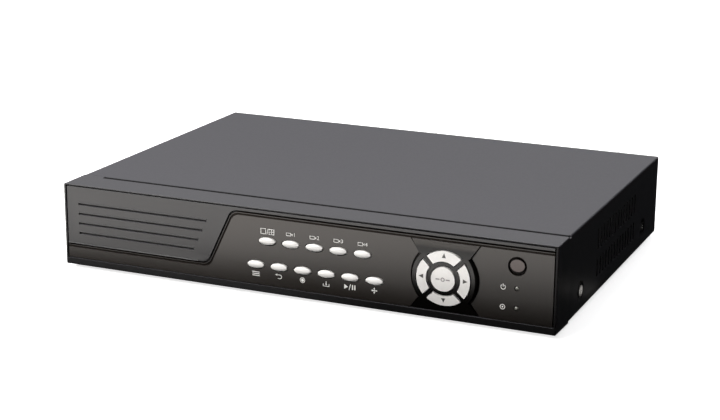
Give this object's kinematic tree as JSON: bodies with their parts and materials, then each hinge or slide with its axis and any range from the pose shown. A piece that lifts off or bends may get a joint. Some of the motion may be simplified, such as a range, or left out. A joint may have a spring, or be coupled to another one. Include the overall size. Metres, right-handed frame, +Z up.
{
  "type": "video recorder",
  "caption": "Flat desktop video recorder in a sheet-metal case with keys, navigation pad, vents, rear sockets, fan and disk drive inside.",
  "frame": {"origin": "middle of the bounding box in plan, at the surface that the rubber feet stand on", "axes": "+Z up, -Y towards the front with the keys, +X to the right seen from the front"},
  "size_m": [0.344, 0.2596, 0.0591],
  "materials": {
    "bezel_plastic": "fine texture",
    "control_gloss": "semi-gloss",
    "key_white": "satin",
    "window_tint": "smoked",
    "lamp_lens": "frosted",
    "case_paint": "fine textured powder coat",
    "zinc_steel": "zinc plated",
    "bright_screw": "nickel plated",
    "foot_rubber": "matte",
    "board_green": "solder mask",
    "black_plastic": "moulded",
    "heat_sink_aluminium": "extruded",
    "capacitor_sleeve": "shrink sleeve",
    "connector_nickel": "nickel plated",
    "white_liner": "moulded",
    "monitor_blue": "moulded",
    "terminal_green": "moulded",
    "cast_drive": "cast",
    "bright_steel": "satin",
    "ribbon_grey": "flat cable",
    "cable_red": "flat cable",
    "mirror_disc": "polished"
  },
  "bodies": {
    "recorder": {"front_bezel": "bezel_plastic", "grille_plate": "bezel_plastic", "control_plate": "control_gloss", "navigation_boss": "control_gloss", "remote_window": "window_tint", "status_lamps": "lamp_lens", "key_board": "board_green", "key_switches": "black_plastic", "remote_receiver": "black_plastic", "top_cover": "case_paint", "base_chassis": "zinc_steel", "rear_panel": "case_paint", "cover_screws": "bright_screw", "tapping_screws": "bright_screw", "machine_screws": "bright_screw", "foot_screws": "bright_screw", "rubber_feet": "foot_rubber", "main_board": "board_green", "board_standoffs": "zinc_steel", "board_chips": "black_plastic", "heat_sink": "heat_sink_aluminium", "capacitors": "capacitor_sleeve", "coin_cell": "bright_screw", "coax_jacks": "connector_nickel", "coax_liners": "white_liner", "audio_jacks": "black_plastic", "monitor_port": "monitor_blue", "network_port": "connector_nickel", "usb_ports": "connector_nickel", "power_socket": "black_plastic", "terminal_block": "terminal_green", "rocker_housing": "black_plastic", "fan_frame": "black_plastic", "fan_screws": "bright_screw", "drive_case": "cast_drive", "drive_lid": "bright_steel", "drive_board": "board_green", "drive_bracket": "zinc_steel", "key_ribbon": "ribbon_grey", "drive_cable": "cable_red"},
    "right_key_body": {"right_key": "key_white"},
    "up_key_body": {"up_key": "key_white"},
    "left_key_body": {"left_key": "key_white"},
    "down_key_body": {"down_key": "key_white"},
    "enter_button_body": {"enter_button": "key_white"},
    "display_button_body": {"display_button": "key_white"},
    "channel_1_button_body": {"channel_1_button": "key_white"},
    "channel_2_button_body": {"channel_2_button": "key_white"},
    "channel_3_button_body": {"channel_3_button": "key_white"},
    "channel_4_button_body": {"channel_4_button": "key_white"},
    "menu_button_body": {"menu_button": "key_white"},
    "escape_button_body": {"escape_button": "key_white"},
    "record_button_body": {"record_button": "key_white"},
    "backup_button_body": {"backup_button": "key_white"},
    "play_button_body": {"play_button": "key_white"},
    "camera_button_body": {"camera_button": "key_white"},
    "rocker_body": {"power_rocker": "black_plastic"},
    "fan_body": {"fan_rotor": "black_plastic"},
    "platter_body": {"drive_platters": "mirror_disc"},
    "arm_body": {"drive_arm": "bright_steel"}
  },
  "joints": [
    {"name": "right_key_press", "type": "slide", "parent": "recorder", "child": "right_key_body", "axis": [0, 1, 0], "range_m": [0, 0.0009], "stiffness_N_per_m": 800},
    {"name": "up_key_press", "type": "slide", "parent": "recorder", "child": "up_key_body", "axis": [0, 1, 0], "range_m": [0, 0.0009], "stiffness_N_per_m": 800},
    {"name": "left_key_press", "type": "slide", "parent": "recorder", "child": "left_key_body", "axis": [0, 1, 0], "range_m": [0, 0.0009], "stiffness_N_per_m": 800},
    {"name": "down_key_press", "type": "slide", "parent": "recorder", "child": "down_key_body", "axis": [0, 1, 0], "range_m": [0, 0.0009], "stiffness_N_per_m": 800},
    {"name": "enter_button_press", "type": "slide", "parent": "recorder", "child": "enter_button_body", "axis": [0, 1, 0], "range_m": [0, 0.0009], "stiffness_N_per_m": 800},
    {"name": "display_button_press", "type": "slide", "parent": "recorder", "child": "display_button_body", "axis": [0, 1, 0], "range_m": [0, 0.0009], "stiffness_N_per_m": 800},
    {"name": "channel_1_button_press", "type": "slide", "parent": "recorder", "child": "channel_1_button_body", "axis": [0, 1, 0], "range_m": [0, 0.0009], "stiffness_N_per_m": 800},
    {"name": "channel_2_button_press", "type": "slide", "parent": "recorder", "child": "channel_2_button_body", "axis": [0, 1, 0], "range_m": [0, 0.0009], "stiffness_N_per_m": 800},
    {"name": "channel_3_button_press", "type": "slide", "parent": "recorder", "child": "channel_3_button_body", "axis": [0, 1, 0], "range_m": [0, 0.0009], "stiffness_N_per_m": 800},
    {"name": "channel_4_button_press", "type": "slide", "parent": "recorder", "child": "channel_4_button_body", "axis": [0, 1, 0], "range_m": [0, 0.0009], "stiffness_N_per_m": 800},
    {"name": "menu_button_press", "type": "slide", "parent": "recorder", "child": "menu_button_body", "axis": [0, 1, 0], "range_m": [0, 0.0009], "stiffness_N_per_m": 800},
    {"name": "escape_button_press", "type": "slide", "parent": "recorder", "child": "escape_button_body", "axis": [0, 1, 0], "range_m": [0, 0.0009], "stiffness_N_per_m": 800},
    {"name": "record_button_press", "type": "slide", "parent": "recorder", "child": "record_button_body", "axis": [0, 1, 0], "range_m": [0, 0.0009], "stiffness_N_per_m": 800},
    {"name": "backup_button_press", "type": "slide", "parent": "recorder", "child": "backup_button_body", "axis": [0, 1, 0], "range_m": [0, 0.0009], "stiffness_N_per_m": 800},
    {"name": "play_button_press", "type": "slide", "parent": "recorder", "child": "play_button_body", "axis": [0, 1, 0], "range_m": [0, 0.0009], "stiffness_N_per_m": 800},
    {"name": "camera_button_press", "type": "slide", "parent": "recorder", "child": "camera_button_body", "axis": [0, 1, 0], "range_m": [0, 0.0009], "stiffness_N_per_m": 800},
    {"name": "power_rocker_tilt", "type": "hinge", "parent": "recorder", "child": "rocker_body", "pos_m": [0.1535, 0.1143, 0.0325], "axis": [1, 0, 0], "range_deg": [-13, 0]},
    {"name": "fan_spin", "type": "hinge", "parent": "recorder", "child": "fan_body", "pos_m": [0.118, 0.1108, 0.0325], "axis": [0, 1, 0], "continuous": true},
    {"name": "platter_spin", "type": "hinge", "parent": "recorder", "child": "platter_body", "pos_m": [0.0515, -0.0473, 0.0235], "axis": [0, 0, 1], "continuous": true},
    {"name": "drive_arm_swing", "type": "hinge", "parent": "recorder", "child": "arm_body", "pos_m": [0.116, -0.0671, 0.0235], "axis": [0, 0, 1], "range_deg": [0, 28]}
  ]
}
